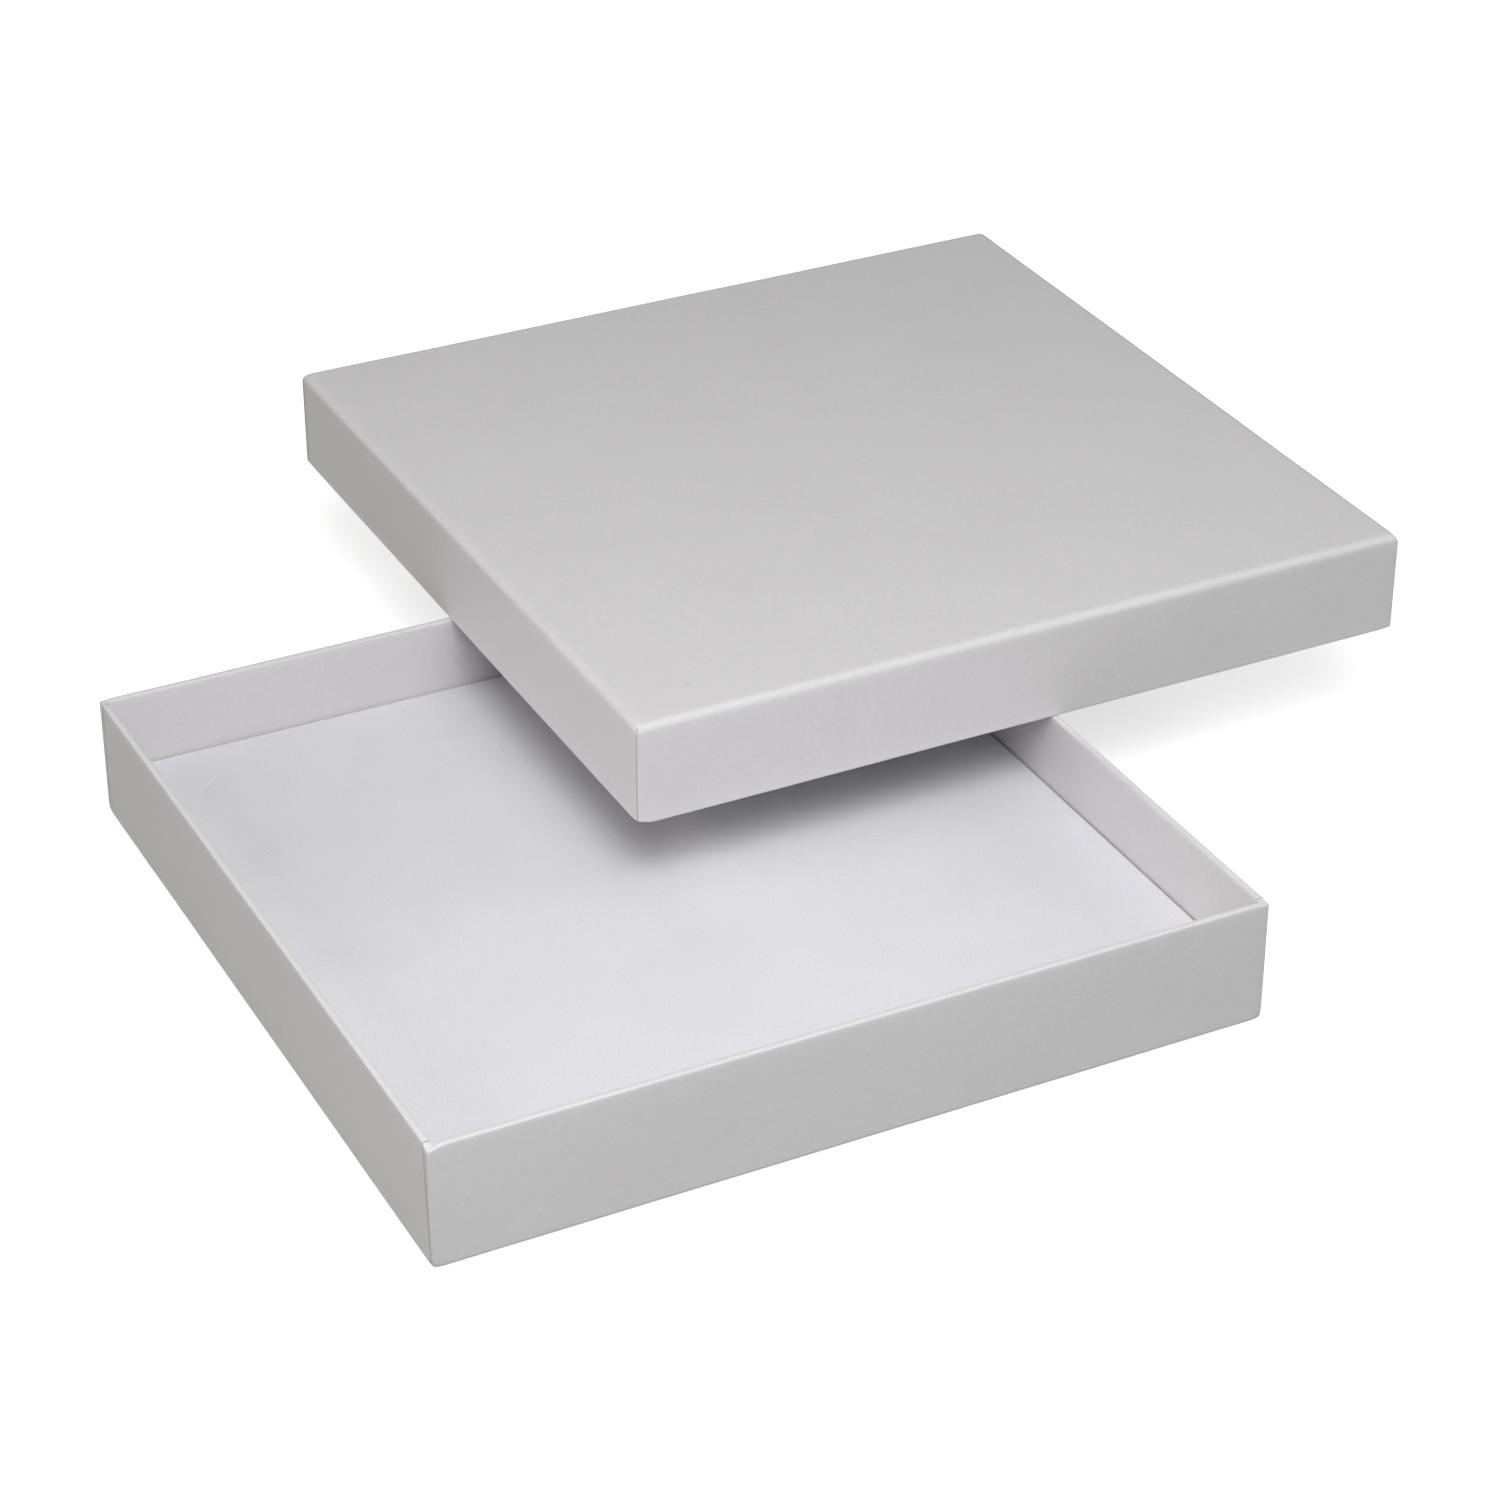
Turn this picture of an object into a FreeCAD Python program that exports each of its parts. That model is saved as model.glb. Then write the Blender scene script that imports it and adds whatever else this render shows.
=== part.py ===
"""Gift box for a necklace: a paper-wrapped greyboard tray, a velour insert and a lift-off lid.

Millimetres. Origin at the centre of the tray's underside, +Z up, -Y the front, -X the left.
The lid lies level on the tray's rim, moved back and to the right, so that the tray is half open.
"""
import FreeCAD, Part
import os

DRIVING_SIZES = {
    # the tray, outside
    "tray_side": 160.0,
    "tray_height": 24.7,
    # the lid: its room round the tray when it is closed, and its height
    "lid_clearance": 0.2,
    "lid_height": 20.6,
    # thickness of each material
    "board": 1.0,
    "paper": 0.15,
    "stay_tape": 0.1,
    "card": 0.8,
    "foam": 6.9,
    "velour": 0.35,
    # rounding of the wrapped board: along its folds, and down its corners
    "fold_radius": 1.2,
    "corner_radius": 0.6,
    # rounding of the insert's upper edges and corners
    "insert_radius": 0.8,
    # how far above the board's floor the turned-in paper ends, and the velour's turn under the card
    "turn_in_margin": 3.5,
    "velour_turn_in": 12.0,
    # the open joint between two walls of a folded blank, and one leg of a corner stay
    "wall_joint": 0.2,
    "stay_leg": 12.0,
    # room round the insert, under the insert and the resting lid, and round the lid's lining
    "insert_clearance": 0.2,
    "seat_gap": 0.05,
    "lining_margin": 1.5,
    # the two slits that hold a chain, and their distance in from the insert's sides
    "slit_length": 5.0,
    "slit_width": 0.3,
    "slit_depth": 5.0,
    "slit_inset": 14.0,
    # the resting lid's near corner, measured from the tray's near corner
    "lid_shift_x": 72.1,
    "lid_shift_y": 72.6,
}

# Each corner: its sides along X and Y, and the turn of a piece drawn for the front left one.
CORNERS = {
    "front_left": (-1, -1, 0),
    "front_right": (1, -1, 90),
    "back_right": (1, 1, 180),
    "back_left": (-1, 1, 270),
}

# Each slit in the insert: its side along X, and its direction across the corner, in degrees.
SLITS = {"back_left": (-1, 45), "back_right": (1, 135)}

doc = FreeCAD.newDocument("necklace_gift_box")
sheet = doc.addObject("Spreadsheet::Sheet", "dims")
for row, (alias, size) in enumerate(DRIVING_SIZES.items(), start=1):
    sheet.set(f"A{row}", alias)
    sheet.set(f"B{row}", str(size))
    sheet.setAlias(f"B{row}", alias)
doc.recompute()

# Sizes that follow from the driving ones. SKIN and FLOOR are depths in from the box's outside.
SKIN = "(dims.paper + dims.stay_tape)"
FLOOR = f"({SKIN} + dims.board)"
WALL = f"({FLOOR} + dims.paper)"
LID_SIDE = f"(dims.tray_side + 2 * dims.lid_clearance + 2 * {WALL})"
LID_RIM = "(dims.tray_height + dims.seat_gap)"
LID_TOP = f"({LID_RIM} + dims.lid_height)"
LID_X = f"(dims.lid_shift_x + ({LID_SIDE} - dims.tray_side) / 2)"
LID_Y = f"(dims.lid_shift_y + ({LID_SIDE} - dims.tray_side) / 2)"
INSERT_SIDE = f"(dims.tray_side - 2 * {WALL} - 2 * dims.insert_clearance)"
INSERT_HEIGHT = "(2 * dims.velour + dims.card + dims.foam)"
INSERT_BOTTOM = f"({FLOOR} + dims.seat_gap)"
FILLING_SIDE = f"({INSERT_SIDE} - 2 * dims.velour)"

UPSIDE_DOWN = FreeCAD.Rotation(FreeCAD.Vector(1, 0, 0), 180)

pieces = []


def value(expression):
    """The present value of an expression on the sheet."""
    return float(sheet.evalExpression(expression))


def piece(name, x="0", y="0", z="0", rotation=FreeCAD.Rotation()):
    """Start a sub-part: a body with its own label and its place in the box."""
    body = doc.addObject("PartDesign::Body", name)
    body.Label = name
    body.Placement = FreeCAD.Placement(FreeCAD.Vector(), rotation)
    for axis, place in zip("xyz", (x, y, z)):
        body.setExpression(f"Placement.Base.{axis}", place)
    pieces.append(body)
    return body


def block(body, kind, name, length, width, height, x="0", y="0", z="0", turn=0):
    """Add ("Additive") or cut ("Subtractive") a box centred on x, y that stands on z."""
    box = body.newObject(f"PartDesign::{kind}Box", name)
    box.Placement = FreeCAD.Placement(FreeCAD.Vector(), FreeCAD.Rotation(FreeCAD.Vector(0, 0, 1), turn))
    box.setExpression("Length", length)
    box.setExpression("Width", width)
    box.setExpression("Height", height)
    across, along = f"cos({turn} deg)", f"sin({turn} deg)"
    box.setExpression("Placement.Base.x", f"{x} - (({length}) * {across} - ({width}) * {along}) / 2")
    box.setExpression("Placement.Base.y", f"{y} - (({length}) * {along} + ({width}) * {across}) / 2")
    box.setExpression("Placement.Base.z", z)
    doc.recompute()


def round_edges(body, name, radius, chosen):
    """Round the edges of the body's last feature that chosen(box round the edge) picks."""
    base = body.Tip
    names = [f"Edge{n}" for n, edge in enumerate(base.Shape.Edges, start=1) if chosen(edge.BoundBox)]
    fillet = body.newObject("PartDesign::Fillet", name)
    fillet.Base = (base, names)
    fillet.setExpression("Radius", radius)
    doc.recompute()


def round_block(body, name, side, level, corner_radius, fold_radius):
    """Round the four upright edges of a centred square block, then its edges at one level."""
    half, z = value(side) / 2, value(level)

    def is_corner(box):
        return (box.XLength < 1e-6 and box.YLength < 1e-6
                and abs(abs(box.XMin) - half) < 1e-6 and abs(abs(box.YMin) - half) < 1e-6)

    def is_fold(box):
        return abs(box.ZMin - z) < 1e-6 and abs(box.ZMax - z) < 1e-6

    round_edges(body, f"{name}_corners", corner_radius, is_corner)
    round_edges(body, f"{name}_folds", fold_radius, is_fold)


def folded_board(name, side, height, **place):
    """One blank of greyboard, scored and folded: a square floor and four walls, open at each corner."""
    body = piece(name, **place)
    outside = f"({side} - 2 * {SKIN})"
    inside = f"({outside} - 2 * dims.board)"
    tall = f"({height} - {SKIN} - dims.paper)"
    block(body, "Additive", f"{name}_blank", outside, outside, tall)
    round_block(body, f"{name}_blank", outside, "0",
                f"dims.corner_radius - {SKIN}", f"dims.fold_radius - {SKIN}")
    block(body, "Subtractive", f"{name}_hollow", inside, inside, tall, z="dims.board")
    for corner, (side_x, side_y, _) in CORNERS.items():
        block(body, "Subtractive", f"{name}_joint_{corner}", "2 * dims.board", "dims.wall_joint", tall,
              x=f"{side_x} * ({outside} - dims.board) / 2",
              y=f"{side_y} * ({inside} - dims.wall_joint) / 2",
              z="dims.board")


def wrapping_paper(name, side, height, **place):
    """The sheet round a board: its outer skin, over the rim, and a band turned in down the walls."""
    body = piece(name, **place)
    hidden = f"({side} - 2 * dims.paper)"
    band = f"({side} - 2 * {FLOOR})"
    well = f"({side} - 2 * {WALL})"
    turn_in = f"({height} - {FLOOR} - dims.turn_in_margin)"
    block(body, "Additive", f"{name}_skin", side, side, height)
    block(body, "Subtractive", f"{name}_hidden", hidden, hidden, f"{height} - 2 * dims.paper", z="dims.paper")
    round_block(body, f"{name}_hidden", hidden, "dims.paper",
                "dims.corner_radius - dims.paper", "dims.fold_radius - dims.paper")
    round_block(body, f"{name}_skin", side, "0", "dims.corner_radius", "dims.fold_radius")
    block(body, "Additive", f"{name}_band", band, band, turn_in, z=f"{height} - {turn_in}")
    block(body, "Subtractive", f"{name}_well", well, well, height, z="dims.paper")


def corner_stays(name, side, height, x="0", y="0", z="0"):
    """Four strips of paper tape, each bent round one corner of the board, from its fold to its rim."""
    for corner, (side_x, side_y, turn) in CORNERS.items():
        body = piece(f"{name}_{corner}",
                     x=f"{x} + {side_x} * ({side} / 2 - dims.paper)",
                     y=f"{y} + {side_y} * ({side} / 2 - dims.paper)",
                     z=z, rotation=FreeCAD.Rotation(FreeCAD.Vector(0, 0, 1), turn))
        middle = "dims.stay_leg / 2"
        inner = "(dims.stay_leg / 2 + dims.stay_tape)"
        tall = f"({height} - dims.fold_radius - dims.paper)"
        block(body, "Additive", f"{name}_{corner}_tape", "dims.stay_leg", "dims.stay_leg", tall,
              x=middle, y=middle)
        block(body, "Subtractive", f"{name}_{corner}_board", "dims.stay_leg", "dims.stay_leg", tall,
              x=inner, y=inner)
        for bend, level, radius in (("outer_bend", "0", "dims.corner_radius - dims.paper"),
                                    ("inner_bend", "dims.stay_tape", f"dims.corner_radius - {SKIN}")):
            at = value(level)
            round_edges(body, f"{name}_{corner}_{bend}", radius,
                        lambda box: box.ZLength > 1 and box.XMax - at < 1e-6 and box.YMax - at < 1e-6
                        and box.XMin > at - 1e-6 and box.YMin > at - 1e-6)


def slits(body, name, depth, top):
    """The cuts across the insert's two back corners, from its top surface down."""
    for corner, (side_x, turn) in SLITS.items():
        block(body, "Subtractive", f"{name}_slit_{corner}", "dims.slit_length", "dims.slit_width", depth,
              x=f"{side_x} * ({INSERT_SIDE} / 2 - dims.slit_inset)",
              y=f"({INSERT_SIDE} / 2 - dims.slit_inset)",
              z=f"{top} - {depth}", turn=turn)


# The tray
folded_board("tray_board", "dims.tray_side", "dims.tray_height", z=SKIN)
corner_stays("tray_corner_stay", "dims.tray_side", "dims.tray_height", z="dims.fold_radius")
wrapping_paper("tray_wrap", "dims.tray_side", "dims.tray_height")

# The insert: a card, a foam pad on it, and flocked sheet drawn over both and turned under the card
card = piece("insert_card", z=f"{INSERT_BOTTOM} + dims.velour")
block(card, "Additive", "card_sheet", FILLING_SIDE, FILLING_SIDE, "dims.card")
round_edges(card, "card_corners", "dims.insert_radius - dims.velour",
            lambda box: box.XLength < 1e-6 and box.YLength < 1e-6)

foam = piece("insert_foam", z=f"{INSERT_BOTTOM} + dims.velour + dims.card")
block(foam, "Additive", "foam_pad", FILLING_SIDE, FILLING_SIDE, "dims.foam")
round_block(foam, "foam_pad", FILLING_SIDE, "dims.foam",
            "dims.insert_radius - dims.velour", "dims.insert_radius - dims.velour")
slits(foam, "foam", "dims.slit_depth", "dims.foam")

cover = piece("insert_cover", z=INSERT_BOTTOM)
block(cover, "Additive", "cover_sheet", INSERT_SIDE, INSERT_SIDE, INSERT_HEIGHT)
block(cover, "Subtractive", "cover_filling", FILLING_SIDE, FILLING_SIDE, "dims.card + dims.foam",
      z="dims.velour")
round_block(cover, "cover_filling", FILLING_SIDE, "dims.velour + dims.card + dims.foam",
            "dims.insert_radius - dims.velour", "dims.insert_radius - dims.velour")
round_block(cover, "cover_sheet", INSERT_SIDE, INSERT_HEIGHT, "dims.insert_radius", "dims.insert_radius")
block(cover, "Subtractive", "cover_underside", f"{INSERT_SIDE} - 2 * dims.velour_turn_in",
      f"{INSERT_SIDE} - 2 * dims.velour_turn_in", "dims.velour")
slits(cover, "cover", "dims.velour", INSERT_HEIGHT)

# The lid, upside down in its own frame, with a sheet that lines the inside of its top
folded_board("lid_board", LID_SIDE, "dims.lid_height",
             x=LID_X, y=LID_Y, z=f"{LID_TOP} - {SKIN}", rotation=UPSIDE_DOWN)
corner_stays("lid_corner_stay", LID_SIDE, "dims.lid_height",
             x=LID_X, y=LID_Y, z=f"{LID_RIM} + dims.paper")
wrapping_paper("lid_wrap", LID_SIDE, "dims.lid_height",
               x=LID_X, y=LID_Y, z=LID_TOP, rotation=UPSIDE_DOWN)
lining_side = f"({LID_SIDE} - 2 * {WALL} - 2 * dims.lining_margin)"
lining = piece("lid_lining", x=LID_X, y=LID_Y, z=f"{LID_TOP} - {FLOOR} - dims.paper")
block(lining, "Additive", "lining_sheet", lining_side, lining_side, "dims.paper")

doc.recompute()
faulty = [item.Label for item in doc.Objects if {"Invalid", "Error"} & set(item.State)]
if faulty:
    raise RuntimeError(f"these objects did not build: {faulty}")
for body in pieces:
    if body.Shape.isNull() or not body.Shape.isValid() or len(body.Shape.Solids) != 1:
        raise RuntimeError(f"{body.Label} is not one valid solid")

os.makedirs("parts", exist_ok=True)
for body in pieces:
    body.Shape.exportStep(f"parts/{body.Label}.step")
    box = body.Shape.BoundBox
    print(f"{body.Label:30s} volume {body.Shape.Volume:10.1f}  x {box.XMin:8.2f} {box.XMax:8.2f}"
          f"  y {box.YMin:8.2f} {box.YMax:8.2f}  z {box.ZMin:6.2f} {box.ZMax:6.2f}")
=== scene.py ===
import math

import bmesh
import bpy
from mathutils import Matrix, Vector, noise
from mathutils.geometry import intersect_point_line


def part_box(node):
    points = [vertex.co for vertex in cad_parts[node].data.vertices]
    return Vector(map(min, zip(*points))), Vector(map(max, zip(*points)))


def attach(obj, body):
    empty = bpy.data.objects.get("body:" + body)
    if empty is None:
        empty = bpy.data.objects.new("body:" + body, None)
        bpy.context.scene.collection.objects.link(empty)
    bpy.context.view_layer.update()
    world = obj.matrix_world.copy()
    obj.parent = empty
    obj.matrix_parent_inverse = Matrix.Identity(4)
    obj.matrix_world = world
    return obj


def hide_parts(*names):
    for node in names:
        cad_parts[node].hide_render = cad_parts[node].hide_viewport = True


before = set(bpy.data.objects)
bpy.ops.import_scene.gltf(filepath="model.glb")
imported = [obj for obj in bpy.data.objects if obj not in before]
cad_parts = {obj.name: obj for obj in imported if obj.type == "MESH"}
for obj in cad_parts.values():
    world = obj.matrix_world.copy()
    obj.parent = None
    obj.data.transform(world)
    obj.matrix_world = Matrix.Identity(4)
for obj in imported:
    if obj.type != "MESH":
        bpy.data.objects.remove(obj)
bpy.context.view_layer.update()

# --- Greyboard ---------------------------------------------------------------------------------
# The tray, the lid and the insert's card are solid greyboard, pressed from waste paper: a dull
# grey sheet with darker and lighter fibres in it. Each box half is one blank, scored, folded up
# and left open at its corners, where its rim has been pressed down a little by handling.

mm = 0.001
fibre_detail = 3.0
fibre_roughness = 0.6
fibres_along_x = (0.35, 1.0, 1.0)
fibres_along_y = (1.0, 0.35, 0.6)
cloud_detail = 2.0
cloud_share = 0.2


def paper_fibre_group():
    """Fibres in a sheet of paper or board: a tone that varies over the surface, and its relief."""
    group = bpy.data.node_groups.new("paper_fibre", "ShaderNodeTree")
    sockets = group.interface
    sockets.new_socket("Fibre Size", in_out="INPUT", socket_type="NodeSocketFloat")
    sockets.new_socket("Cloud Size", in_out="INPUT", socket_type="NodeSocketFloat")
    sockets.new_socket("Tone", in_out="OUTPUT", socket_type="NodeSocketFloat")
    sockets.new_socket("Relief", in_out="OUTPUT", socket_type="NodeSocketFloat")
    nodes, links = group.nodes, group.links
    inlet, outlet = nodes.new("NodeGroupInput"), nodes.new("NodeGroupOutput")
    place = nodes.new("ShaderNodeTexCoord")

    def fineness(size):
        """A noise scale from the size of its grains."""
        per_metre = nodes.new("ShaderNodeMath")
        per_metre.operation = "DIVIDE"
        per_metre.inputs[0].default_value = 1.0
        links.new(size, per_metre.inputs[1])
        return per_metre.outputs[0]

    def fibres(lie):
        """Noise drawn out along one axis, so that its grains lie like fibres."""
        drawn_out = nodes.new("ShaderNodeMapping")
        drawn_out.inputs["Scale"].default_value = lie
        grain = nodes.new("ShaderNodeTexNoise")
        grain.inputs["Detail"].default_value = fibre_detail
        grain.inputs["Roughness"].default_value = fibre_roughness
        links.new(place.outputs["Object"], drawn_out.inputs["Vector"])
        links.new(drawn_out.outputs["Vector"], grain.inputs["Vector"])
        links.new(fineness(inlet.outputs["Fibre Size"]), grain.inputs["Scale"])
        return grain.outputs["Fac"]

    crossed = nodes.new("ShaderNodeMath")
    crossed.operation = "MAXIMUM"
    links.new(fibres(fibres_along_y), crossed.inputs[0])
    links.new(fibres(fibres_along_x), crossed.inputs[1])
    cloud = nodes.new("ShaderNodeTexNoise")
    cloud.inputs["Detail"].default_value = cloud_detail
    links.new(place.outputs["Object"], cloud.inputs["Vector"])
    links.new(fineness(inlet.outputs["Cloud Size"]), cloud.inputs["Scale"])
    both = nodes.new("ShaderNodeMath")
    both.operation = "MULTIPLY_ADD"
    both.inputs[1].default_value = 1 - cloud_share
    links.new(crossed.outputs[0], both.inputs[0])
    clouded = nodes.new("ShaderNodeMath")
    clouded.operation = "MULTIPLY"
    clouded.inputs[1].default_value = cloud_share
    links.new(cloud.outputs["Fac"], clouded.inputs[0])
    links.new(clouded.outputs[0], both.inputs[2])
    links.new(both.outputs[0], outlet.inputs["Tone"])
    links.new(crossed.outputs[0], outlet.inputs["Relief"])
    return group


paper_fibre = paper_fibre_group()


def new_material(name, roughness):
    """A material with its shader, its node tree and its links at hand."""
    material = bpy.data.materials.new(name)
    material.use_nodes = True
    tree = material.node_tree
    shader = tree.nodes["Principled BSDF"]
    shader.inputs["Roughness"].default_value = roughness
    return material, tree.nodes, tree.links, shader


def add_fibre(nodes, fibre_size, cloud_size):
    """The fibre group placed in a material, with its two sizes in metres."""
    fibre = nodes.new("ShaderNodeGroup")
    fibre.node_tree = paper_fibre
    fibre.inputs["Fibre Size"].default_value = fibre_size
    fibre.inputs["Cloud Size"].default_value = cloud_size
    return fibre


def add_tones(nodes, links, mask, stops):
    """A colour that runs through (place, colour) stops as the mask goes from 0 to 1."""
    ramp = nodes.new("ShaderNodeValToRGB")
    points = ramp.color_ramp.elements
    while len(points) < len(stops):
        points.new(0.5)
    for point, (place, colour) in zip(points, stops):
        point.position = place
        point.color = (*colour, 1.0)
    links.new(mask, ramp.inputs["Fac"])
    return ramp.outputs["Color"]


def add_relief(nodes, links, shader, height, depth, strength=1.0, under=None):
    """Bump of the given depth in metres, on top of another bump's normal if there is one."""
    bump = nodes.new("ShaderNodeBump")
    bump.inputs["Distance"].default_value = depth
    bump.inputs["Strength"].default_value = strength
    links.new(height, bump.inputs["Height"])
    if under is not None:
        links.new(under, bump.inputs["Normal"])
    links.new(bump.outputs["Normal"], shader.inputs["Normal"])
    return bump.outputs["Normal"]


darkest_tone = 0.42
lightest_tone = 0.62


def plain_fibre_material(name, dark, light, fibre_size, cloud_size, depth, roughness):
    """Bare paper or board, between two colours, with the fibres' relief."""
    material, nodes, links, shader = new_material(name, roughness)
    fibre = add_fibre(nodes, fibre_size, cloud_size)
    stops = [(darkest_tone, dark), (lightest_tone, light)]
    colour = add_tones(nodes, links, fibre.outputs["Tone"], stops)
    links.new(colour, shader.inputs["Base Color"])
    add_relief(nodes, links, shader, fibre.outputs["Relief"], depth)
    return material


def finish_node(node, material):
    """Give a piece of the frame its material in place of the plain one."""
    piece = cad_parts[node]
    piece.data.materials.clear()
    piece.data.materials.append(material)


def half_frame(half):
    """A half's own frame (millimetres, floor down, centred), half its side and its height."""
    low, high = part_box(f"{half}_wrap")
    middle = (low + high) / 2
    if half == "lid":
        place = Matrix.Translation((middle.x, middle.y, high.z)) @ Matrix.Rotation(math.pi, 4, "X")
    else:
        place = Matrix.Translation((middle.x, middle.y, low.z))
    return place @ Matrix.Scale(mm, 4), (high.x - low.x) / mm / 2, (high.z - low.z) / mm


# Lengths that aren't times mm are millimetres in a half's own frame, here and for the paper.
near_corner_dip = 0.9
other_corner_dip = 0.25
rim_dip_length = 3.6
rim_dip_reach = 4.5
floor_dent = 0.2
dent_reach = 2.5
under_press = 1.1
corner_cuts = (0.9, 1.8, 2.7)
rim_cuts = (rim_dip_reach, 2.7, 1.5)
weld_gap = 1e-3
flat_angle = 0.01
on_plane = 1e-4


def pressed_in(p, half, half_side, height):
    """How a corner's board gives: its rim dips, most at the front left, and its floor is dented."""
    front = 1 if half == "lid" else -1
    rim_dip = near_corner_dip if p.x < 0 < p.y * front else other_corner_dip
    in_x, in_y = half_side - abs(p.x), half_side - abs(p.y)
    along = max(0.0, 1 - max(in_x, in_y) / rim_dip_length) ** 2
    near_rim = max(0.0, 1 - (height - p.z) / rim_dip_reach)
    dent = floor_dent * max(0.0, 1 - Vector((in_x, in_y, p.z)).length / dent_reach) ** 2
    drop = rim_dip * along * near_rim
    return Vector((-math.copysign(dent, p.x), -math.copysign(dent, p.y), dent - drop))


def cut(bm, faces, point, normal):
    """Cut the chosen faces along a plane."""
    edges = (e for f in faces for e in f.edges)
    verts = (v for f in faces for v in f.verts)
    geometry = list({*faces, *edges, *verts})
    bmesh.ops.bisect_plane(bm, geom=geometry, dist=on_plane, plane_co=point, plane_no=normal)


def cut_grid(bm, steps_x, steps_y, steps_z):
    """Cut the whole mesh along planes across X, Y and Z, so that it can bend smoothly."""
    for axis, steps in enumerate((steps_x, steps_y, steps_z)):
        for step in steps:
            point, normal = Vector(), Vector()
            point[axis], normal[axis] = step, 1
            cut(bm, bm.faces[:], point, normal)


def place_mesh(bm, name, place, material):
    """Bring a finished mesh out of its own millimetres into the box's frame, as a new piece."""
    mesh = bpy.data.meshes.new(name)
    bm.to_mesh(mesh)
    bm.free()
    mesh.transform(place)
    mesh.materials.append(material)
    piece = bpy.data.objects.new(name, mesh)
    bpy.context.scene.collection.objects.link(piece)
    return piece


def pressed_copy(name, node, half, material):
    """The frame's own piece, its corners pressed in a little further than the paper over them."""
    place, half_side, height = half_frame(half)
    bm = bmesh.new()
    bm.from_mesh(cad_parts[node].data)
    bmesh.ops.transform(bm, matrix=place.inverted(), verts=bm.verts)
    bmesh.ops.remove_doubles(bm, verts=bm.verts, dist=weld_gap)
    bmesh.ops.dissolve_limit(bm, angle_limit=flat_angle, verts=bm.verts, edges=bm.edges)
    steps = (*corner_cuts, rim_dip_length)
    inward = [side * (half_side - step) for side in (-1, 1) for step in steps]
    levels = [*corner_cuts, *(height - drop for drop in rim_cuts)]
    cut_grid(bm, inward, inward, levels)
    for v in bm.verts:
        v.co += under_press * pressed_in(v.co, half, half_side, height)
    piece = place_mesh(bm, name, place, material)
    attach(piece, half)
    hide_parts(node)


greyboard = plain_fibre_material(
    "greyboard", dark=(0.26, 0.25, 0.23), light=(0.44, 0.43, 0.40),
    fibre_size=0.5 * mm, cloud_size=9 * mm, depth=0.06 * mm, roughness=0.92)
finish_node("insert_card", greyboard)
for half in ("tray", "lid"):
    pressed_copy(f"{half}_greyboard_blank", f"{half}_board", half, greyboard)

# --- Corner stays ------------------------------------------------------------------------------
# A strip of gummed kraft-white paper tape is bent round each corner of a folded blank, from its
# fold to its rim, and holds the two walls together before the box is wrapped.

stay_paper = plain_fibre_material(
    "stay_tape", dark=(0.62, 0.57, 0.48), light=(0.78, 0.74, 0.65),
    fibre_size=0.4 * mm, cloud_size=5 * mm, depth=0.02 * mm, roughness=0.75)
for half in ("tray", "lid"):
    for corner in ("front_left", "front_right", "back_right", "back_left"):
        stay = f"{half}_corner_stay_{corner}"
        pressed_copy(f"{stay}_tape", stay, half, stay_paper)

# --- Wrapping paper ----------------------------------------------------------------------------
# Each half is wrapped in one sheet of smooth white paper with a soft sheen, glued over the floor
# and walls and turned in over the rim. The front and back flaps go round the corners; the side
# flaps are laid over them and cut just short of the corner, which leaves a fine upright seam.

paper_tones = [(0.38, (0.63, 0.618, 0.624)), (0.66, (0.685, 0.675, 0.68))]
# Paler along folds, the rim and corner tips: partly stretched paper, partly a painted highlight.
stretched_paper_and_highlight = (0.75, 0.75, 0.765)
# Grey of the seams: partly the paper's cut edge, partly a painted shadow of the overlap; the strip beside
# each seam gets painted shade.
seam_edge_and_painted_shadow = (0.20, 0.17, 0.15)
paper_roughness = 0.46
tone_span = (0.3, 0.7)
roughness_span = (0.40, 0.52)
coat_span = (0.30, 0.12)
board_grain = 4 * mm
board_grain_depth = 0.02 * mm
paper_grain_depth = 0.012 * mm


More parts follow.
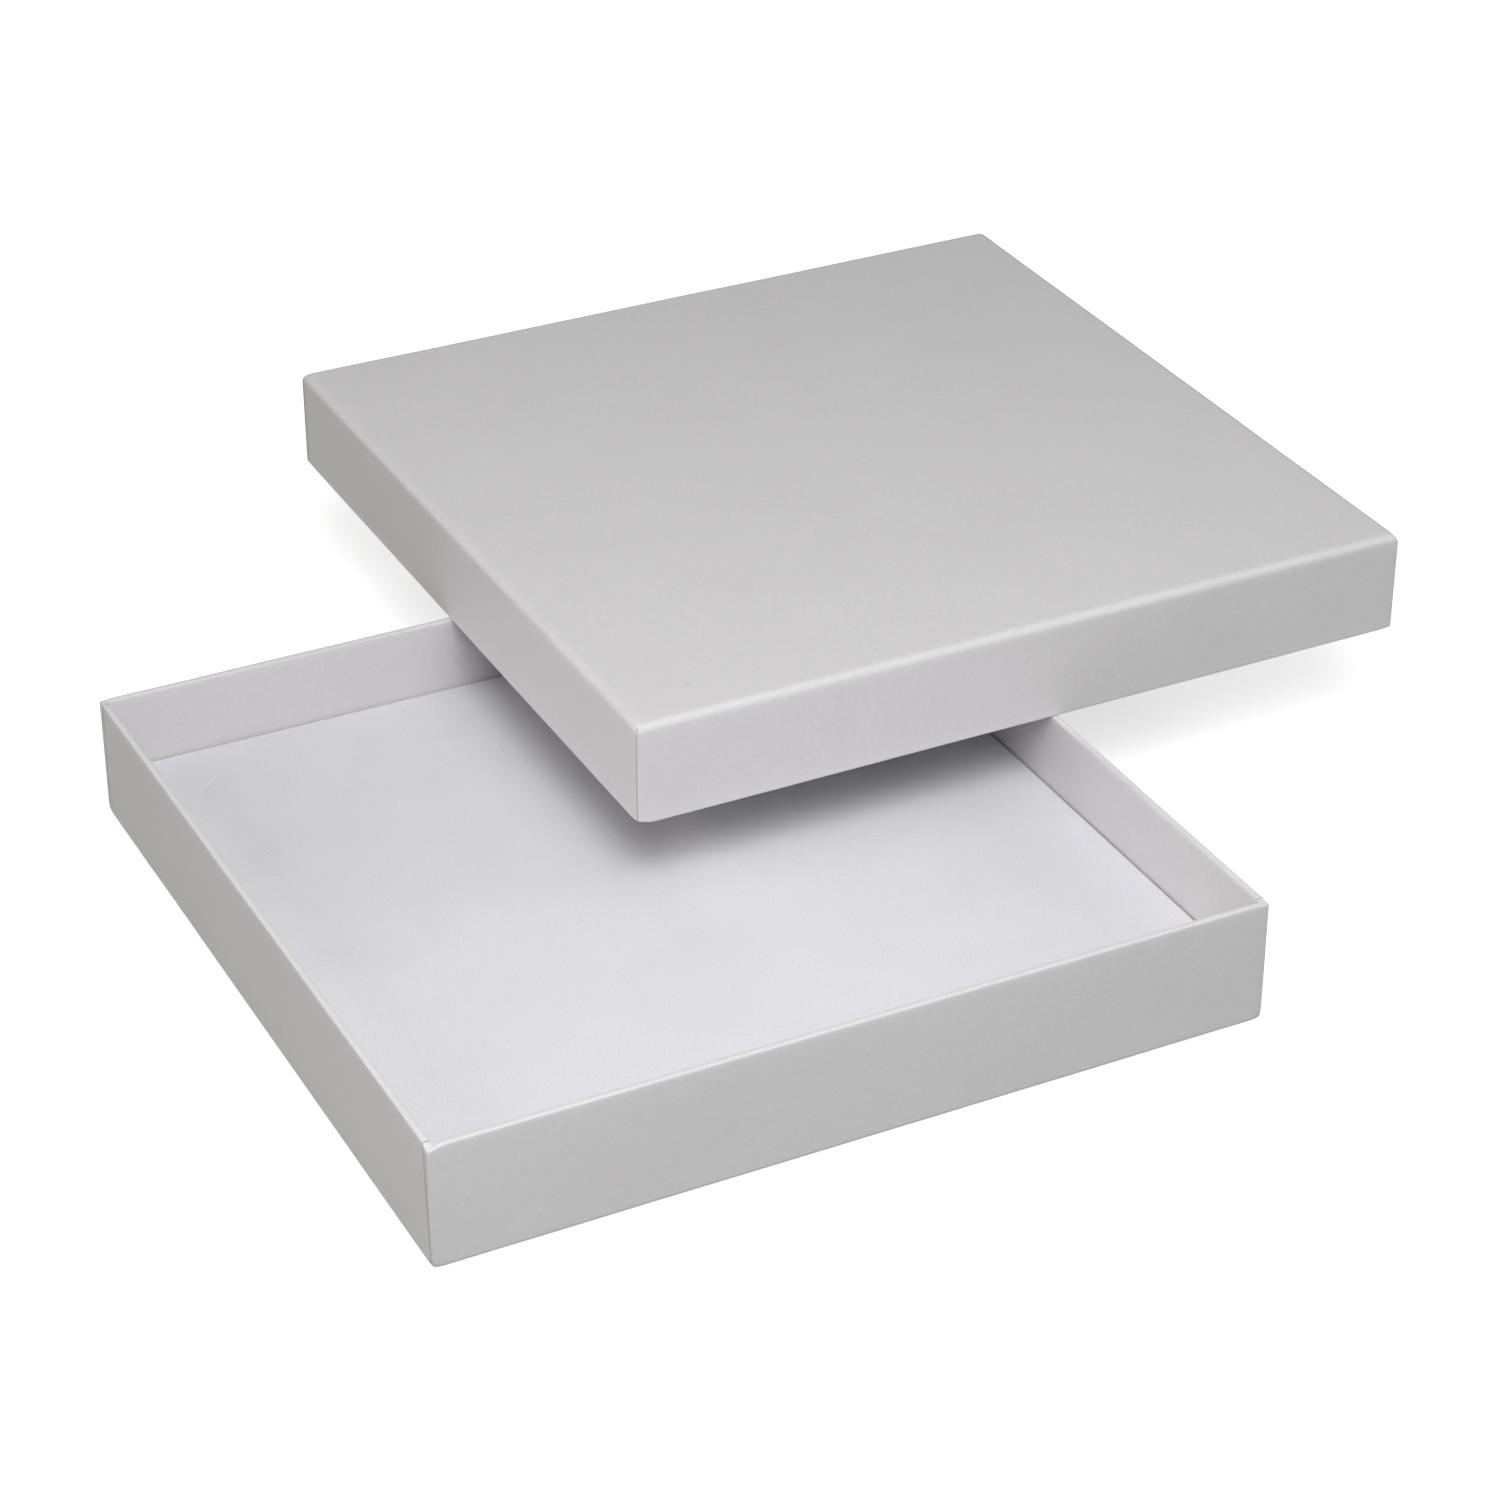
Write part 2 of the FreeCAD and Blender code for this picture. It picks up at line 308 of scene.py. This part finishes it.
def satin_paper_material():
    """White satin paper: faint fibres and clouds; paler at folds and corner tips, partly stretched paper
    and partly a painted highlight; grey in its seams, partly the cut edge and partly a painted shadow.
    """
    material, nodes, links, shader = new_material("wrapping_paper", paper_roughness)
    shader.inputs["Specular IOR Level"].default_value = 0.5
    shader.inputs["Coat Roughness"].default_value = 0.32
    fibre = add_fibre(nodes, fibre_size=0.45 * mm, cloud_size=22 * mm)
    ground = add_tones(nodes, links, fibre.outputs["Tone"], paper_tones)

    def spread(mask, colour, under):
        """One colour laid over another where the mask is high."""
        mix = nodes.new("ShaderNodeMix")
        mix.data_type = "RGBA"
        mix.inputs["B"].default_value = (*colour, 1.0)
        links.new(mask, mix.inputs["Factor"])
        links.new(under, mix.inputs["A"])
        return mix.outputs["Result"]

    def marked(attribute):
        """A mark that the mesh carries on its vertices."""
        mark = nodes.new("ShaderNodeAttribute")
        mark.attribute_name = attribute
        return mark.outputs["Fac"]

    # Where the mesh marks a fold or tip the paper is paler: partly stretched paper, partly a painted
    # highlight.
    wear_and_highlight = nodes.new("ShaderNodeMath")
    wear_and_highlight.operation = "MULTIPLY"
    links.new(marked("fold"), wear_and_highlight.inputs[0])
    links.new(fibre.outputs["Tone"], wear_and_highlight.inputs[1])
    pale = spread(wear_and_highlight.outputs[0], stretched_paper_and_highlight, ground)
    # Then grey seams: partly the cut edge and partly a painted shadow of the overlap, with painted shade
    # on the strip beside them.
    links.new(spread(marked("seam"), seam_edge_and_painted_shadow, pale), shader.inputs["Base Color"])
    sheen = nodes.new("ShaderNodeMapRange")
    sheen.inputs["To Min"].default_value = coat_span[0]
    sheen.inputs["To Max"].default_value = coat_span[1]
    links.new(fibre.outputs["Tone"], sheen.inputs["Value"])
    links.new(sheen.outputs["Result"], shader.inputs["Coat Weight"])
    dull = nodes.new("ShaderNodeMapRange")
    dull.inputs["From Min"].default_value = tone_span[0]
    dull.inputs["From Max"].default_value = tone_span[1]
    dull.inputs["To Min"].default_value = roughness_span[0]
    dull.inputs["To Max"].default_value = roughness_span[1]
    links.new(fibre.outputs["Tone"], dull.inputs["Value"])
    links.new(dull.outputs["Result"], shader.inputs["Roughness"])
    board = nodes.new("ShaderNodeTexNoise")
    board.inputs["Scale"].default_value = 1 / board_grain
    board.inputs["Detail"].default_value = 2.0
    place = nodes.new("ShaderNodeTexCoord")
    links.new(place.outputs["Object"], board.inputs["Vector"])
    board_shows = add_relief(nodes, links, shader, board.outputs["Fac"], board_grain_depth)
    add_relief(nodes, links, shader, fibre.outputs["Relief"], paper_grain_depth, under=board_shows)
    return material


satin_paper = satin_paper_material()

paper_thickness = 0.13
skin_gap = 0.02
wall_thickness = 1.4
fold_radii = {"tray": 0.8, "lid": 1.5}
fold_facets = 5
corner_radius = 0.35
corner_facets = 3
rim_radius = 0.28
rim_facets = 3
inner_rim_radius = 0.3
inner_rim_facets = 2
band_end = 4.75
seam_places = {"tray": (0.9, 2.1), "lid": (0.6, 0.75)}
seam_width = 0.46
seam_depth = 0.13
notch_depth = 0.16
painted_flap_shade = 0.10
seam_zone = 3.6
seam_line = 0.02
notch_height = 0.7
swell_broad = 0.05
swell_fine = 0.012
broad_size = 26
fine_size = 6
lid_pattern_shift = 300
fold_wear_and_highlight_width = 1.4
tip_wear_and_highlight_width = 1.0
tip_wear_and_highlight = 1.6
grid_pitch = 2.0
grid_margin = 5
lowest_level = 2.4
end_cuts = (2.0, 2.8, 3.7)
rim_levels = (1.8, 1.0)
hair = 1e-2
facing = 0.5
squarely_facing = 0.9


def near(a, b, gap=1e-3):
    """Two lengths that are the same but for rounding."""
    return abs(a - b) < gap


def bevel(bm, edges, radius, segments):
    """Round the given edges."""
    bmesh.ops.bevel(bm, geom=edges, offset=radius, offset_type="OFFSET", segments=segments,
                    profile=0.5, affect="EDGES", material=-1, clamp_overlap=False)


def edges_where(bm, test):
    """Edges with both ends where the test holds."""
    return [e for e in bm.edges if all(test(v.co) for v in e.verts)]


def corner_edges(bm, test):
    """The same, without the long edges that run from one corner to the next."""
    return [e for e in edges_where(bm, test)
            if e.verts[0].co.x * e.verts[1].co.x > 0 and e.verts[0].co.y * e.verts[1].co.y > 0]


def wrapped_walls(bm, half_side, height, fold_radius):
    """Outer skin, over the rim and down the inside, with its folds, corners and rim rounded."""
    inner = half_side - wall_thickness
    size = Matrix.Diagonal((2 * half_side, 2 * half_side, height, 1))
    bmesh.ops.create_cube(bm, size=1.0, matrix=Matrix.Translation((0, 0, height / 2)) @ size)
    top = [f for f in bm.faces if f.normal.z > squarely_facing]
    bmesh.ops.delete(bm, geom=top, context="FACES_ONLY")
    for scale, drop in ((inner / half_side, 0.0), (1.0, band_end - height)):
        loop = [e for e in bm.edges if e.is_boundary]
        made = bmesh.ops.extrude_edge_only(bm, edges=loop)["geom"]
        made = [v for v in made if isinstance(v, bmesh.types.BMVert)]
        bmesh.ops.scale(bm, vec=(scale, scale, 1), verts=made)
        bmesh.ops.translate(bm, vec=(0, 0, drop), verts=made)
    bmesh.ops.recalc_face_normals(bm, faces=bm.faces[:])
    if min(bm.faces, key=lambda f: f.calc_center_median().z).normal.z > 0:
        bmesh.ops.reverse_faces(bm, faces=bm.faces[:])

    def at_outer_corner(p):
        return near(abs(p.x), abs(p.y)) and p.z > hair and abs(p.x) > half_side - fold_radius

    def at_inner_corner(p):
        return near(abs(p.x), inner) and near(abs(p.y), inner)

    def on_outside(face):
        return near(face.normal.z, 0) and face.normal.dot(face.calc_center_median()) > 0

    def at_inner_rim(p):
        return near(p.z, height) and max(abs(p.x), abs(p.y)) < inner + hair

    bevel(bm, edges_where(bm, lambda p: near(p.z, 0)), fold_radius, fold_facets)
    bevel(bm, corner_edges(bm, at_outer_corner), corner_radius, corner_facets)
    bevel(bm, corner_edges(bm, at_inner_corner), inner_rim_radius, inner_rim_facets)
    rim = edges_where(bm, lambda p: near(p.z, height))
    bevel(bm, [e for e in rim if any(on_outside(f) for f in e.link_faces)], rim_radius, rim_facets)
    bevel(bm, edges_where(bm, at_inner_rim), inner_rim_radius, inner_rim_facets)
    for v in bm.verts:
        x, y = (max(-half_side, min(half_side, place)) for place in v.co.xy)
        v.co = (x, y, max(0, v.co.z))


def press_seams(bm, half_side, height, fold_radius, seam, seam_at_fold, seam_at_rim):
    """The side flaps' edges on the two side walls, leaning in to the corner, and on over the rim."""
    inner = half_side - wall_thickness

    def takes_seam(face):
        p = face.calc_center_median()
        turned_out = face.normal.x * math.copysign(1, p.x) > facing or face.normal.z > facing
        in_zone = abs(p.x) > inner and abs(p.y) > half_side - seam_zone
        return in_zone and p.z > fold_radius / 3 and turned_out

    lean = (seam_at_rim - seam_at_fold) / height
    for side in (-1, 1):
        across = Vector((0, side, lean)).normalized()
        for offset in (-seam_width / 2, 0, seam_width / 2):
            faces = [f for f in bm.faces if takes_seam(f) and f.calc_center_median().y * side > 0]
            cut(bm, faces, (0, side * (half_side - seam_at_fold + offset), 0), across)
    bm.normal_update()
    for v in bm.verts:
        from_seam = half_side - abs(v.co.y) - seam_at_fold - lean * v.co.z
        on_side_wall = abs(v.co.x) > inner
        if near(from_seam, 0, seam_line) and on_side_wall and any(takes_seam(f) for f in v.link_faces):
            # The seam's line is coloured grey: partly the cut edge, partly a painted shadow.
            notch = math.exp(-((v.co.z - fold_radius) / notch_height) ** 2)
            v.co -= v.normal * (seam_depth + notch_depth * notch)
            v[seam] = 1.0
        # Between the seam and the corner: painted shade, a little darker than the wall.
        elif -seam_at_fold < from_seam < 0 and v.co.z < height - rim_radius and on_side_wall:
            v[seam] = painted_flap_shade


def wrapped_paper(half):
    """The sheet on one half: its skin, cut fine enough to swell and dip, and given its thickness."""
    place, half_side, height = half_frame(half)
    place = place @ Matrix.Translation((0, 0, skin_gap))
    half_side -= skin_gap
    height -= 2 * skin_gap
    bm = bmesh.new()
    seam = bm.verts.layers.float.new("seam")
    fold = bm.verts.layers.float.new("fold")
    wrapped_walls(bm, half_side, height, fold_radii[half])

    count = int((half_side - grid_margin) / grid_pitch)
    steps = [i * grid_pitch for i in range(-count, count + 1)]
    steps += [side * (half_side - step) for side in (-1, 1) for step in end_cuts]
    levels = [lowest_level + i * grid_pitch for i in range(int((height - grid_margin) / grid_pitch))]
    cut_grid(bm, steps, steps, levels + [height - drop for drop in rim_levels])
    press_seams(bm, half_side, height, fold_radii[half], seam, *seam_places[half])

    bm.normal_update()
    # Mark folds, rim edges and corner tips to be paler: partly stretched paper, partly a painted
    # highlight.
    for v in bm.verts:
        p = v.co
        in_x, in_y = half_side - abs(p.x), half_side - abs(p.y)
        side = min(in_x, in_y)
        from_edge = min(math.hypot(side, p.z), math.hypot(side, height - p.z))
        from_tip = math.hypot(in_x, in_y, p.z)
        v[fold] = max(math.exp(-(from_edge / fold_wear_and_highlight_width) ** 2),
                      tip_wear_and_highlight * math.exp(-(from_tip / tip_wear_and_highlight_width) ** 2))
    for v in bm.verts:
        p = v.co.copy()
        where = p + Vector((0, 0, lid_pattern_shift if half == "lid" else 0))
        swell = noise.noise(where / broad_size) * swell_broad + noise.noise(where / fine_size) * swell_fine
        tight = min(1.0, max(half_side - abs(p.x), half_side - abs(p.y)) / rim_dip_length)
        v.co += v.normal * tight * (min(swell, swell_broad / 2) - swell_broad / 2)
        v.co += pressed_in(p, half, half_side, height)

    sheet = place_mesh(bm, f"{half}_wrapping_sheet", place, satin_paper)
    sheet.data.polygons.foreach_set("use_smooth", [True] * len(sheet.data.polygons))
    thick = sheet.modifiers.new("paper_thickness", "SOLIDIFY")
    thick.thickness = paper_thickness * mm
    thick.offset = -1
    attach(sheet, half)
    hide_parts(f"{half}_wrap")


for half in ("tray", "lid"):
    wrapped_paper(half)

# --- Lid lining --------------------------------------------------------------------------------
# A plain white sheet of uncoated paper, cut a little smaller than the inside of the lid, is glued
# over the bare board of its top.

lining_paper = plain_fibre_material(
    "lining_paper", dark=(0.74, 0.73, 0.72), light=(0.80, 0.79, 0.78),
    fibre_size=0.4 * mm, cloud_size=14 * mm, depth=0.01 * mm, roughness=0.7)
finish_node("lid_lining", lining_paper)

# --- Insert foam -------------------------------------------------------------------------------
# A pad of white open-cell foam, cut from a sheet, lies on the insert's card under the cover and
# gives the insert its spring.

# White foam, with painted shade where the cells are hollow.
foam_and_pore_shade_tones = [(0.1, (0.60, 0.60, 0.57)), (0.6, (0.86, 0.86, 0.83))]
foam_cell = 0.5 * mm
foam_cell_depth = 0.15 * mm


def foam_material():
    """Open cells: pale foam walls, with painted shade in the hollows of the cells."""
    material, nodes, links, shader = new_material("white_foam", 0.95)
    place = nodes.new("ShaderNodeTexCoord")
    cells = nodes.new("ShaderNodeTexVoronoi")
    cells.inputs["Scale"].default_value = 1 / foam_cell
    links.new(place.outputs["Object"], cells.inputs["Vector"])
    colour = add_tones(nodes, links, cells.outputs["Distance"], foam_and_pore_shade_tones)
    links.new(colour, shader.inputs["Base Color"])
    add_relief(nodes, links, shader, cells.outputs["Distance"], foam_cell_depth)
    return material


finish_node("insert_foam", foam_material())

# --- Insert cover ------------------------------------------------------------------------------
# White flocked sheet with a short velour nap is drawn over the foam and turned in under the card.
# The pad is pressed into the tray, and two closed slits near its back corners take a chain.

velour_tones = [(0.38, (0.676, 0.671, 0.714)), (0.62, (0.77, 0.765, 0.81))]
nap_size = 0.28 * mm
nap_depth = 0.05 * mm
brushed_size = 14 * mm
brushed_share = 0.15


def velour_material():
    """Short white nap: a soft sheen, a fine grain, and paths where the nap has been brushed."""
    material, nodes, links, shader = new_material("white_velour", 0.9)
    shader.inputs["Sheen Weight"].default_value = 0.35
    shader.inputs["Sheen Roughness"].default_value = 0.45
    shader.inputs["Specular IOR Level"].default_value = 0.15
    place = nodes.new("ShaderNodeTexCoord")

    def grain(size, detail):
        """Noise with grains of the given size in metres."""
        texture = nodes.new("ShaderNodeTexNoise")
        texture.inputs["Scale"].default_value = 1 / size
        texture.inputs["Detail"].default_value = detail
        links.new(place.outputs["Object"], texture.inputs["Vector"])
        return texture.outputs["Fac"]

    nap = grain(nap_size, 2.0)
    brushed = grain(brushed_size, 3.0)
    tone = nodes.new("ShaderNodeMath")
    tone.operation = "MULTIPLY_ADD"
    tone.inputs[1].default_value = 1 - brushed_share
    links.new(nap, tone.inputs[0])
    part = nodes.new("ShaderNodeMath")
    part.operation = "MULTIPLY"
    part.inputs[1].default_value = brushed_share
    links.new(brushed, part.inputs[0])
    links.new(part.outputs[0], tone.inputs[2])
    colour = add_tones(nodes, links, tone.outputs[0], velour_tones)
    links.new(colour, shader.inputs["Base Color"])
    add_relief(nodes, links, shader, nap, nap_depth)
    return material


pad_pitch = 2.4
pad_edge_radius = 0.55
pad_edge_facets = 3
pad_start_gap = 0.02
pad_levels = (0.33, 0.5, 0.67)
held_height = 0.5
foam_pressure = 4.0
cover_mass = 0.1
cover_stiffness = 25
cover_bending = 2.0
settling_frames = 20
side_swell = 0.16
top_swell = 0.40
pull_in_share = 0.1
cover_thickness = 0.28
cover_turn_in = 12.0
slit_inset = 14.0
slit_length = 5.0
slit_width = 0.5
slit_depth = 0.9
slit_cut_reach = 0.8
slit_line = 0.05
top_reach = 2
crease_zone = 1
creases = [((-24.3, 32.5), (-19.4, 31.2)), ((-22.0, 47.6), (-22.9, 35.8)),
           ((-74.0, 43.8), (-63.1, 37.1))]
crease_width = 1.1
crease_depth = 0.10


def swollen(pad, held, middle):
    """Let the cover take the foam's push: cloth under pressure, with the underside held flat."""
    grip = pad.vertex_groups.new(name="held")
    grip.add(held, 1.0, "REPLACE")
    cloth = pad.modifiers.new("cover_cloth", "CLOTH")
    cloth.settings.use_pressure = True
    cloth.settings.uniform_pressure_force = foam_pressure
    cloth.settings.effector_weights.gravity = 0
    cloth.settings.vertex_group_mass = "held"
    cloth.settings.quality = 6
    cloth.settings.mass = cover_mass
    cloth.settings.tension_stiffness = cover_stiffness
    cloth.settings.compression_stiffness = cover_stiffness
    cloth.settings.bending_stiffness = cover_bending
    scene = bpy.context.scene
    for step in range(1, settling_frames + 1):
        scene.frame_set(step)
    ready = pad.evaluated_get(bpy.context.evaluated_depsgraph_get()).to_mesh()
    places = [v.co.copy() for v in ready.vertices]
    pad.modifiers.remove(cloth)
    pad.vertex_groups.remove(grip)
    scene.frame_set(1)
    for v, place in zip(pad.data.vertices, places):
        move = place - v.co
        for axis, most in enumerate((side_swell, side_swell, top_swell)):
            move[axis] = most * mm * math.tanh(move[axis] / (most * mm))
            if move[axis] * (v.co[axis] - middle[axis]) < 0:
                move[axis] *= pull_in_share
        v.co += move


def velour_pad():
    """The padded insert's cover, swollen, slit, and turned in under the card."""
    low, high = (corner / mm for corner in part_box("insert_cover"))
    middle, size = (low + high) / 2, high - low
    half_side = size.x / 2
    bm = bmesh.new()
    block = Matrix.Translation(middle) @ Matrix.Diagonal(
        (size.x - 2 * pad_start_gap, size.y - 2 * pad_start_gap, size.z - pad_start_gap, 1))
    bmesh.ops.create_cube(bm, size=1.0, matrix=block)
    bevel(bm, bm.edges[:], pad_edge_radius, pad_edge_facets)
    count = int((half_side - pad_edge_radius) / pad_pitch)
    steps = [i * pad_pitch for i in range(-count, count + 1)]
    cut_grid(bm, [middle.x + step for step in steps], [middle.y + step for step in steps],
             [low.z + size.z * share for share in pad_levels])
    bmesh.ops.recalc_face_normals(bm, faces=bm.faces[:])
    pad = place_mesh(bm, "insert_velour_pad", Matrix.Scale(mm, 4), velour_material())
    under = low.z + pad_edge_radius + held_height
    swollen(pad, [v.index for v in pad.data.vertices if v.co.z < under * mm], middle * mm)
    finer = pad.modifiers.new("finer", "SUBSURF")
    finer.levels = finer.render_levels = 1
    smooth = bpy.data.meshes.new_from_object(pad.evaluated_get(bpy.context.evaluated_depsgraph_get()))
    pad.modifiers.remove(finer)

    bm = bmesh.new()
    bm.from_mesh(smooth)
    bmesh.ops.scale(bm, vec=(1 / mm, 1 / mm, 1 / mm), verts=bm.verts)
    card_edge = half_side - cover_turn_in
    bare = [f for f in bm.faces if f.normal.z < -squarely_facing
            and max(abs(c) for c in (f.calc_center_median() - middle).xy) < card_edge]
    bmesh.ops.delete(bm, geom=bare, context="FACES")
    for side in (-1, 1):
        from_middle = half_side - slit_inset
        slit = Vector((middle.x + side * from_middle, middle.y + from_middle, high.z))
        across = Vector((side, 1, 0)).normalized()
        along = Vector((1, -side, 0)).normalized()
        for offset in (-slit_width / 2, 0, slit_width / 2):
            faces = [f for f in bm.faces if f.normal.z > facing
                     and (f.calc_center_median() - slit).length < slit_length * slit_cut_reach]
            cut(bm, faces, slit + across * offset, across)
        for v in bm.verts:
            from_slit = v.co - slit
            if abs(from_slit.dot(across)) < slit_line and abs(from_slit.z) < top_reach:
                share = 1 - (from_slit.dot(along) / (slit_length / 2)) ** 2
                if share > 0:
                    v.co.z -= slit_depth * math.sqrt(share)
    for start, end in creases:
        start, end = Vector(start), Vector(end)
        for v in bm.verts:
            in_reach = (v.co.xy - (start + end) / 2).length < (end - start).length
            if v.co.z > high.z - crease_zone and in_reach:
                share = intersect_point_line(v.co.xy, start, end)[1]
                nearest = start.lerp(end, max(0, min(1, share)))
                v.co.z -= crease_depth * math.exp(-((v.co.xy - nearest).length / crease_width) ** 2)
    bmesh.ops.scale(bm, vec=(mm, mm, mm), verts=bm.verts)
    bm.to_mesh(pad.data)
    bm.free()
    pad.data.polygons.foreach_set("use_smooth", [True] * len(pad.data.polygons))
    thick = pad.modifiers.new("cover_thickness", "SOLIDIFY")
    thick.thickness = cover_thickness * mm
    thick.offset = -1
    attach(pad, "insert")
    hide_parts("insert_cover")


velour_pad()

# --- Table, light and camera -------------------------------------------------------------------
# A plain white table under broad soft studio light, seen from the front left and above. The
# lights stand round the box behind wide diffusers.


def new_object(name, data):
    """An object put in the scene."""
    thing = bpy.data.objects.new(name, data)
    bpy.context.scene.collection.objects.link(thing)
    return thing


def for_camera(nodes, links, seen, cast):
    """One value where the camera looks, another for the light that bounces."""
    path = nodes.new("ShaderNodeLightPath")
    value = nodes.new("ShaderNodeMapRange")
    value.inputs["To Min"].default_value = cast
    value.inputs["To Max"].default_value = seen
    links.new(path.outputs["Is Camera Ray"], value.inputs["Value"])
    return value.outputs["Result"]


floor_half_width = 6.0
floor_gap = 0.05 * mm
floor_seen = 0.94
floor_bounce = 0.4
backdrop_seen = 0.6
world_light = 0.05


def plain_floor():
    """The table top, just under the tray, whiter to the camera than in the light it sends back."""
    bm = bmesh.new()
    bmesh.ops.create_grid(bm, x_segments=1, y_segments=1, size=floor_half_width)
    mesh = bpy.data.meshes.new("table_top")
    bm.to_mesh(mesh)
    bm.free()
    material, nodes, links, shader = new_material("table_white", 0.9)
    links.new(for_camera(nodes, links, floor_seen, floor_bounce), shader.inputs["Base Color"])
    shader.inputs["Emission Strength"].default_value = 1.0
    links.new(for_camera(nodes, links, backdrop_seen, 0.0), shader.inputs["Emission Color"])
    mesh.materials.append(material)
    floor = new_object("table_top", mesh)
    mesh.transform(Matrix.Translation((0, 0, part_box("tray_wrap")[0].z - floor_gap)))


lit_place = Vector((0.02, 0.02, 0.02))
plain = (1.0, 1.0, 1.0)
warm = (1.0, 0.965, 0.94)


def soft_box(name, direction, distance, width, power, colour=plain):
    """A square light that faces the box from the given direction."""
    lamp = bpy.data.lights.new(name, "AREA")
    lamp.size = width
    lamp.energy = power
    lamp.color = colour
    thing = new_object(name, lamp)
    aim = Vector(direction).normalized()
    thing.location = lit_place + aim * distance
    thing.visible_camera = False
    thing.rotation_euler = aim.to_track_quat("Z", "Y").to_euler()


plain_floor()
soft_box("key", direction=(-0.25, -0.59, 0.77), distance=0.6, width=0.35, power=1.85)
soft_box("key_fill", direction=(-0.15, -0.45, 0.88), distance=0.6, width=0.4, power=1.2)
soft_box("front", direction=(0.15, -1.0, 0.3), distance=1.2, width=0.8, power=1.0)
soft_box("left", direction=(-1.0, -0.1, 0.4), distance=1.2, width=0.8, power=3.05, colour=warm)
soft_box("left_back", direction=(-1.0, 0.45, 0.4), distance=1.0, width=0.7, power=1.65, colour=warm)
soft_box("right", direction=(1.0, -0.3, 0.4), distance=1.2, width=0.8, power=3.95)
soft_box("back", direction=(0.35, 0.8, 0.6), distance=1.2, width=0.9, power=1.5)

world = bpy.data.worlds.new("studio")
world.use_nodes = True
nodes, links = world.node_tree.nodes, world.node_tree.links
nodes["Background"].inputs["Color"].default_value = (1.0, 1.0, 1.0, 1.0)
strength = for_camera(nodes, links, backdrop_seen, world_light)
links.new(strength, nodes["Background"].inputs["Strength"])
bpy.context.scene.world = world
bpy.context.scene.view_settings.view_transform = "Standard"

camera_place = (-0.27122, -0.57350, 0.41426)
looks_away_from = Vector((-0.3867, -0.7660, 0.5135))
lens = bpy.data.cameras.new("camera")
lens.lens = 97.8
lens.sensor_width = 36.0
lens.clip_start = 0.01
camera = new_object("camera", lens)
camera.location = camera_place
camera.rotation_euler = looks_away_from.to_track_quat("Z", "Y").to_euler()
bpy.context.scene.camera = camera
